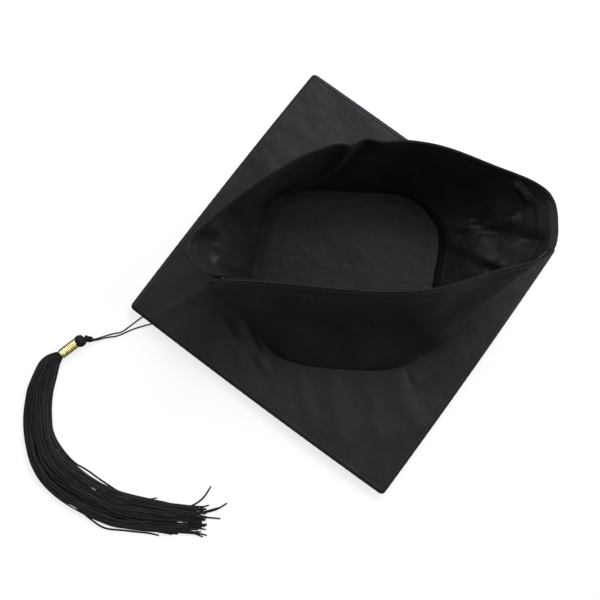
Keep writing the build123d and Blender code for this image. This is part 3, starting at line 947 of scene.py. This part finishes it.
TAPE_WIDTH = 5 * MM
GATHERS_RIGHT, GATHERS_LEFT = 12 * MM, 26 * MM  # how far they fade into each side panel
HANG, DROOP = 4.5, 1.2  # mm that the right wall hangs in, and that the rim droops
WALL_HEIGHT = RIM_HEIGHT - WALL_BOTTOM


def wall_surface():
    """The wall's outer surface as a grid, its columns' places round the rim in metres,
    and the columns of the seams."""
    rim = np.array([s[:2] for s in STATIONS]) * MM
    knots = lengths_along(rim)
    at = np.linspace(0, knots[-1], COLUMNS)
    around = smooth_through(knots, rim, at)
    angle = np.interp(at, knots, [s[2] for s in STATIONS])
    soft = np.hanning(21)
    soft = soft / soft.sum()
    before, after = 2 * angle[0] - angle[10:0:-1], 2 * angle[-1] - angle[-2:-12:-1]
    padded = np.concatenate([before, angle, after])
    angle = np.convolve(padded, soft, mode="valid")
    inset = np.interp(at, knots, [s[3] for s in STATIONS]) * MM
    reach = crown_reach(angle, inset)
    crown = np.stack([reach * np.cos(np.radians(angle)), reach * np.sin(np.radians(angle))], -1)
    v = np.linspace(0, 1, ROWS)
    plan = crown[:, None] * (1 - v)[None, :, None] + around[:, None] * v[None, :, None]
    z = np.broadcast_to(WALL_BOTTOM + v * WALL_HEIGHT, plan.shape[:2])
    grid = np.concatenate([plan, z[..., None]], -1)
    seams = [int(np.argmin(np.abs(at - knots[k]))) for k in SEAM_STATIONS]
    return grid, at, seams, v


def crumpled(grid, at, seams, v):
    """The wall with its gathers, creases and slack, all along its own normals."""
    normal = grid_normals(grid)
    back = (at[seams[0]] + at[seams[1]]) / 2
    half = (at[seams[1]] - at[seams[0]]) / 2
    outside = np.clip(np.abs(at - back) - half, 0, None)
    tight = bell(outside, np.where(at < back, GATHERS_RIGHT, GATHERS_LEFT))
    ease = xyz(at)
    fine = noise_at(ease, 4.5 * MM, 5, 2)[:, None]
    broad = 1 - 2 * np.abs(noise_at(ease, 17 * MM, 15, 2))[:, None]
    top = np.clip((v - 0.5) / 0.4, 0, 1)[None] ** 1.2
    low = np.sin(pi * np.clip(v * 1.02, 0, 1))[None] ** 0.8
    push = tight[:, None] * (0.35 * fine * top + 0.9 * broad * low)
    push = push + 0.6 * noise_at(grid, 38 * MM, 1) * low + 0.1 * noise_at(grid, 12 * MM, 2, 3) * low
    push = push + tight[:, None] * 1.3 * noise_at(grid * (1, 1, 1.5), 24 * MM, 9, 2) * low
    hang = np.interp(at, [0, 40 * MM, at[seams[0]] * 0.6, at[seams[0]] * 0.85], [0.5, 1, 1, 0])
    push = push - HANG * hang[:, None] * np.sin(pi * v)[None]
    for line, wide, high in WALL_CREASES:
        gap = from_line(grid, line)[0]
        push = push + high * bell(gap / MM, wide) * np.clip(v * 6, 0, 1)[None]
    moved = grid + normal * push[..., None] * MM
    droop = DROOP * noise_at(ease, 60 * MM, 6) - DROOP
    moved[..., 2] += droop[:, None] * MM * v[None] ** 2
    return moved


def layer(surface, normal, inset, thick, name, columns, rows, uv, material=None):
    """A sheet that follows the wall, that far inside its outer surface."""
    part = (slice(*columns), slice(*rows))
    outer = surface[part] - normal[part] * inset
    inner = surface[part] - normal[part] * (inset + thick)
    return shell(name, outer, inner, material or CLOTH, uv[part])


def row_below(depth):
    """The wall grid's row at that depth below the rim."""
    return int(round((1 - depth / WALL_HEIGHT) * (ROWS - 1)))


def skullcap():
    grid, at, seams, v = wall_surface()
    surface = crumpled(grid, at, seams, v)
    normal = grid_normals(surface)
    uv = np.stack(np.broadcast_arrays(at[:, None], v[None] * WALL_HEIGHT), -1)
    edges = {
        "right": (0, seams[0] + 1), "back": (seams[0], seams[1] + 1), "left": (seams[1], COLUMNS),
    }
    hem = row_below(HEM_DEPTH)

    def sheet_at(inset, thick, name, columns, rows, material=None):
        return layer(surface, normal, inset, thick, name, columns, rows, uv, material)

    for side, columns in edges.items():
        panel = sheet_at(0, CLOTH_THICKNESS, f"{side}_panel_cloth", columns, (0, ROWS))
        put(panel, "cap", "cap_cloth", f"{side}_panel")
        inset = CLOTH_THICKNESS + LINING_GAP
        if side == "back":
            rows = (row_below(ELASTIC_LOW), row_below(ELASTIC_TOP))
            band = sheet_at(inset, ELASTIC_THICKNESS, "back_elastic_band", columns, rows, ELASTIC)
            put(band, "cap", "elastic", "back_elastic")
            inset += ELASTIC_THICKNESS + LINING_GAP
            closed = [1 - depth / WALL_HEIGHT for depth in CASING_MEETS]
            inset = np.interp(v[hem:], closed, [inset, CLOTH_THICKNESS + 0.06 * MM])[:, None]
            wider = (columns[0] - 1, columns[1] + 1)
            strip = sheet_at(inset, STRIP_THICKNESS, "back_casing_strip", wider, (hem, ROWS))
            put(strip, "cap", "cap_cloth", "back_casing")
        else:
            name = f"{side}_facing_strip"
            strip = sheet_at(inset, STRIP_THICKNESS, name, columns, (hem, ROWS))
            put(strip, "cap", "cap_cloth", f"{side}_rim_facing")
    tape_top = int(round(TAPE_WIDTH / WALL_HEIGHT * (ROWS - 1))) + 2
    tape = sheet_at(
        CLOTH_THICKNESS + LINING_GAP, STRIP_THICKNESS, "crown_seam_strip",
        (int(COLUMNS * 0.055), int(COLUMNS * 0.93)), (0, tape_top), TAPE,
    )
    put(tape, "cap", "seam_tape", "crown_seam_tape")
    tubes = []
    for row, radius in ((row_below(RIM_STITCHES), RIM_THREAD), (hem + 1, HEM_THREAD)):
        tubes += stitch_row(surface[:, row], normal[:, row], RIM_PITCH, radius)
    stitching = join_tubes("rim_stitching", tubes, STITCH)
    put(stitching, "cap", "sewing_thread")


skullcap()


def crown_cloth():
    """The flat end of the skullcap: slightly slack cloth inside the crown seam."""
    rings, turns = 60, 240
    angle = np.linspace(0, 360, turns, endpoint=False)
    share = np.linspace(0.0, 1, rings)
    reach = crown_reach(angle)[:, None] * share[None]
    turn = np.radians(angle)
    x, y = reach * np.cos(turn)[:, None], reach * np.sin(turn)[:, None]
    points = xyz(x, y)
    inner = np.clip((1 - share) * 8, 0, 1)[None]
    slack = 0.5 * noise_at(points, 40 * MM, 12)
    puff = (0.9 + slack + 0.15 * noise_at(points, 11 * MM, 13)) * inner
    gather = 0.07 * np.sin(turn * 46 + 2 * np.sin(turn * 5))[:, None]
    puff = puff + gather * bell(share - 0.93, 0.05)[None]
    top = xyz(x, y, BOARD_TOP + 0.7 * MM + puff * MM)
    under = xyz(x, y, BOARD_TOP + 0.05 * MM)
    m, n = x.shape
    index = np.arange(m * n).reshape(m, n)
    faces = []
    for i in range(m):
        k = (i + 1) % m
        for j in range(1, n - 1):
            quad = (index[i, j], index[i, j + 1], index[k, j + 1], index[k, j])
            faces.append(quad)
            faces.append(tuple(m * n + q for q in reversed(quad)))
        faces.append((index[0, 0], index[i, 1], index[k, 1]))
        faces.append((m * n + index[0, 0], m * n + index[k, 1], m * n + index[i, 1]))
        a, b = index[i, n - 1], index[k, n - 1]
        faces.append((a, m * n + a, m * n + b, b))
    vertices = np.concatenate([top.reshape(-1, 3), under.reshape(-1, 3)])
    used = sorted({int(v) for face in faces for v in face})
    place = {v: i for i, v in enumerate(used)}
    faces = [tuple(place[int(v)] for v in face) for face in faces]
    vertices = vertices[used]
    cloth = finish_mesh("crown_cloth", vertices, faces, CLOTH, vertices[:, :2])
    put(cloth, "cap", "cap_cloth", "crown_disc")


crown_cloth()


# Button, front tack, and the tassel's knot, head and neck


# The covered button's outline, from its face to its neck: (reach, height) in mm
BUTTON_OUTLINE = [
    (0.02, 0.0), (3, 0.0), (6, 0.0), (9, 0.0), (11.4, 0.02), (12.35, 0.2), (12.75, 0.75),
    (12.8, 1.5), (12.75, 2.3), (12.3, 2.85), (11.2, 3.0), (8, 3.0), (5, 3.05), (3.7, 3.3),
    (3.1, 3.9), (3.0, 4.6), (3.0, 5.15),
]
# The knot's turns: centre (x, y, z) and reach in mm, and the direction that each faces
KNOT_TURNS = [
    (-0.1, -2.8, 0.4, 1.9, (0.35, 0.9, 0.25)), (-0.5, -1.8, 0.4, 2.0, (-0.3, 0.9, 0.3)),
    (-0.1, -0.8, 0.1, 1.7, (0.6, 0.7, 0.4)), (0.3, 0.4, -0.2, 1.6, (0.5, 0.8, -0.3)),
    (0.5, 1.4, -0.4, 1.15, (0.2, 0.95, -0.2)),
]


TACK_TURNS, TACK_CORE = 13, 5  # turns wound round the tack, threads laid inside them
PLY_REACH, PLY_RADIUS = 0.34 * MM, 0.36 * MM  # the knot's cord
HEAD_LAYERS = [(3.95, 30, 0.5), (4.3, 19, -0.9)]  # reach in mm, strands, twist
HEAD_STRAND, NECK_STRAND = 0.46 * MM, 0.45 * MM  # radii
COLLAR_RADIUS, COLLAR_BORE, RIB_HEIGHT, LIP_HEIGHT = 3.4, 3.25, 0.42, 0.12  # in mm
NECK_STRANDS = 34


def button_cover():
    """Cloth drawn over the former and gathered to the neck behind it."""
    outline = np.array(BUTTON_OUTLINE) * MM
    steps = np.linspace(0, len(outline) - 1, 70)
    outline = smooth_through(np.arange(len(outline)), outline, steps)
    turn = np.linspace(0, 2 * pi, 180, endpoint=False)
    behind = np.clip((steps - 8) / 3, 0, 1)
    pleat = np.sin(26 * turn + 1.5 * np.sin(3 * turn))[:, None] * behind[None]
    reach = outline[:, 0][None] + 0.16 * MM * pleat * (steps > 12)[None]
    z = outline[:, 1][None] + 0.22 * MM * pleat * (steps <= 13)[None]
    layers = []
    tangent = unit(np.gradient(outline, axis=0))
    for inset in (0, 0.45 * MM):
        r = np.maximum(reach - tangent[:, 1][None] * inset, 0.01 * MM)
        h = z + tangent[:, 0][None] * inset
        layers.append(xyz(r * np.cos(turn)[:, None], r * np.sin(turn)[:, None], h))
    outer, inner = layers
    cover = shell("button_cloth", outer, inner, CLOTH, outer[..., :2], rounded=False, closed=True)
    put(cover, "cap", "cap_cloth", "button_cover")


def front_bartack():
    """Thread wound tightly round the folded edges at the front."""
    low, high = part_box("front_bartack")
    centre, length = np.array((low + high) / 2), high.x - low.x
    t = np.linspace(0, 1, TACK_TURNS * 10)
    bulge = 0.75 + 0.25 * np.sin(pi * t)
    wrap = centre + np.stack([
        (t - 0.5) * length * 0.86,
        bulge * 0.85 * MM * np.cos(2 * pi * TACK_TURNS * t),
        bulge * 0.8 * MM * np.sin(2 * pi * TACK_TURNS * t),
    ], -1)
    tubes = [(wrap, 0.27 * MM, 6)]
    for k in range(TACK_CORE):
        turn = k * 2 * pi / TACK_CORE
        across = np.array([0, cos(turn), sin(turn)]) * 0.45 * MM
        ends = np.linspace(-0.5, 0.5, 7)[:, None] * np.array([length, 0, 0])
        tubes.append((centre + across + ends, 0.3 * MM, 6))
    tack = join_tubes("front_tack_thread", tubes, STITCH)
    put(tack, "cap", "sewing_thread", "front_bartack")


def plied(path, twist, size=1.0):
    """The loop's own three-ply cord along a path, as tubes."""
    _, across, over = frames_along(path)
    tubes = []
    for k in range(LOOP_PLIES):
        turn = 2 * pi * (np.linspace(0, twist, len(path)) + k / LOOP_PLIES)
        around = spun(turn, across, over)
        tubes.append((path + around * PLY_REACH * size, PLY_RADIUS * size, 7))
    return tubes


def tassel_knot():
    """The looped cord's knot: five turns round its two strands."""
    tubes = []
    for x, y, z, reach, facing in KNOT_TURNS:
        normal = unit(np.array(facing))
        first = unit(np.cross(normal, (0, 0, 1.0)))
        second = np.cross(normal, first)
        t = np.linspace(0, 2 * pi * 0.97, 40)
        ring = spun(t, first, second) * reach
        path = (np.array((x, y, z)) + ring + t[:, None] * normal * 0.06) * MM
        tubes += plied(path + np.array(KNOT), 3, 1.3)
    for side in (-0.45, 0.45):
        places = [
            (0.6 + side, -3.6, 0.9), (side, -1.2, 0.2), (0.3 + side, 0.8, -0.1),
            (0.9 + side * 0.6, 2.6, -0.5),
        ]
        path = smooth_through([0, 1, 2, 3], places, np.linspace(0, 3, 24))
        tubes += plied(path * MM + np.array(KNOT), 2)
    knot = join_tubes("tassel_knot_cord", tubes, TASSEL)
    put(knot, "tassel", "tassel_thread", "tassel_knot")


def collar_axes():
    """The collar's direction, and two directions across it."""
    axis = np.array(COLLAR_AXIS)
    first = unit(np.cross(axis, (0, 0, 1.0)))
    return axis, first, np.cross(first, axis)


def tassel_head():
    """The strands folded over into a lumpy head, running down into the collar."""
    axis, first, second = collar_axes()
    draw = Random(5)
    tubes = []
    for layer_radius, count, twist in HEAD_LAYERS:
        for k in range(count):
            turn = k * 2 * pi / count + draw.uniform(-0.08, 0.08)
            wave = draw.uniform(-0.25, 0.25)
            path = []
            for step in range(12):
                share = step / 11
                polar = radians(38 + 138 * share)
                phi = turn + twist * share + wave * sin(3 * pi * share)
                around = first * cos(phi) + second * sin(phi)
                away = axis * cos(polar) + around * sin(polar)
                lump = 0.45 * noise.noise(Vector(away * 1.6)) + draw.uniform(-0.08, 0.08)
                reach = (layer_radius + lump - (0.35 if share > 0.8 else 0)) * MM
                place = np.array(HEAD) + reach * away
                place[2] = max(place[2], 0.5 * MM)
                path.append(place)
            start = np.array(COLLAR_START) + axis * 0.8 * MM
            around = first * cos(turn) + second * sin(turn)
            tubes.append((np.array([start + around * 2.6 * MM] + path), HEAD_STRAND, 7))
    head = join_tubes("tassel_head_strands", tubes, TASSEL)
    put(head, "tassel", "tassel_thread", "tassel_head")


def tassel_collar():
    """The crimped metal sleeve: rounded ribs between two plain rolled ends."""
    axis, first, second = collar_axes()
    along = np.linspace(0, COLLAR_LENGTH, 181)
    phase = ((along - COLLAR_BAND) / COLLAR_PITCH) % 1
    ribbed = (along > COLLAR_BAND) & (along < COLLAR_LENGTH - COLLAR_BAND)
    rib = np.where(ribbed, np.sqrt(np.clip(1 - (2 * phase - 1) ** 2, 0, 1)), 0.45)
    lip = bell(np.minimum(along, COLLAR_LENGTH - along), 0.4 * MM)
    turn = np.linspace(0, 2 * pi, 96, endpoint=False)
    round_ = spun(turn[:, None], first, second)
    centre = np.array(COLLAR_START) + along[None, :, None] * axis
    dent = 0.05 * noise_at(round_ * 3 * MM + centre, 2.2 * MM, 31)
    reach = (COLLAR_RADIUS + RIB_HEIGHT * rib[None] + LIP_HEIGHT * lip[None] + dent) * MM
    outer = centre + round_ * reach[..., None]
    inner = centre + round_ * COLLAR_BORE * MM
    uv = np.stack(np.broadcast_arrays(turn[:, None] * 3.5 * MM, along[None] - COLLAR_BAND), -1)
    sleeve = shell("tassel_collar_sleeve", outer, inner, GOLD, uv, rounded=False, closed=True)
    put(sleeve, "tassel", "collar_gold", "tassel_collar")


def tassel_neck():
    """The strands inside the collar, side by side."""
    axis, first, second = collar_axes()
    tubes = []
    for k in range(NECK_STRANDS):
        reach = ((k + 0.5) / NECK_STRANDS) ** 0.5 * 2.7 * MM
        around = (first * cos(k * 2.4) + second * sin(k * 2.4)) * reach
        along = np.linspace(0.2 * MM, COLLAR_LENGTH + 0.6 * MM, 10)[:, None] * axis
        tubes.append((np.array(COLLAR_START) + around + along, NECK_STRAND, 6))
    neck = join_tubes("tassel_neck_strands", tubes, TASSEL)
    put(neck, "tassel", "tassel_thread", "tassel_binding")


button_cover()
front_bartack()
tassel_knot()
tassel_head()
tassel_collar()
tassel_neck()


# Stage


# The floor gives off light, so that it is as white as the photo's
FLOOR_HALF, FLOOR_GREY, FLOOR_GLOW = 30.0, 0.15, 0.71
# Square lamps that face the origin: name, place in metres, side in metres, and watts
LIGHTS = [
    ("overhead", (0, 0, 2.0), 1.4, 9),
    ("key", (-1.11, 0.72, 1.39), 1.0, 43),
    ("key_low", (-1.55, 0.9, 0.62), 1.0, 9),
    ("left", (-1.02, -1.02, 1.22), 1.1, 20),
    ("right", (0.2, 1.8, 0.65), 1.0, 27),
    ("low_right", (0.5, 1.7, 0.45), 0.7, 10),
    ("fill", (0.8, -0.3, 1.5), 1.0, 6),
    ("back_right", (-0.2, 1.15, 1.4), 0.7, 11),
]
LIGHT_COLOUR, WORLD_COLOUR, WORLD_STRENGTH = (0.9, 0.95, 1.0), (0.96, 0.98, 1, 1), 0.26


def make_stage():
    mesh = bpy.data.meshes.new("floor")
    half = FLOOR_HALF
    corners = [(-half, -half, 0), (half, -half, 0), (half, half, 0), (-half, half, 0)]
    mesh.from_pydata(corners, [], [(0, 1, 2, 3)])
    material, shader = new_material("floor", Roughness=0.9, Emission_Strength=FLOOR_GLOW)
    shader.inputs["Base Color"].default_value = (FLOOR_GREY,) * 3 + (1,)
    shader.inputs["Emission Color"].default_value = (1, 1, 1, 1)
    mesh.materials.append(material)
    floor = bpy.data.objects.new("floor", mesh)
    bpy.context.scene.collection.objects.link(floor)
    floor.visible_glossy = False
    world = bpy.data.worlds.new("studio")
    bpy.context.scene.world = world
    world.use_nodes = True
    background = world.node_tree.nodes["Background"]
    background.inputs["Color"].default_value = WORLD_COLOUR
    background.inputs["Strength"].default_value = WORLD_STRENGTH
    for name, place, size, power in LIGHTS:
        light = bpy.data.lights.new(name, "AREA")
        light.size, light.energy = size, power
        light.color = LIGHT_COLOUR
        lamp = bpy.data.objects.new(name, light)
        lamp.location = place
        lamp.rotation_euler = (-Vector(place)).to_track_quat("-Z", "Y").to_euler()
        bpy.context.scene.collection.objects.link(lamp)


make_stage()

for node, material in {
    "board_core": BOARD, "button_former": PLASTIC, "button_post": STEEL,
    "button_washer": STEEL,
}.items():
    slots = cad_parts[node].data.materials
    slots.clear()
    slots.append(material)
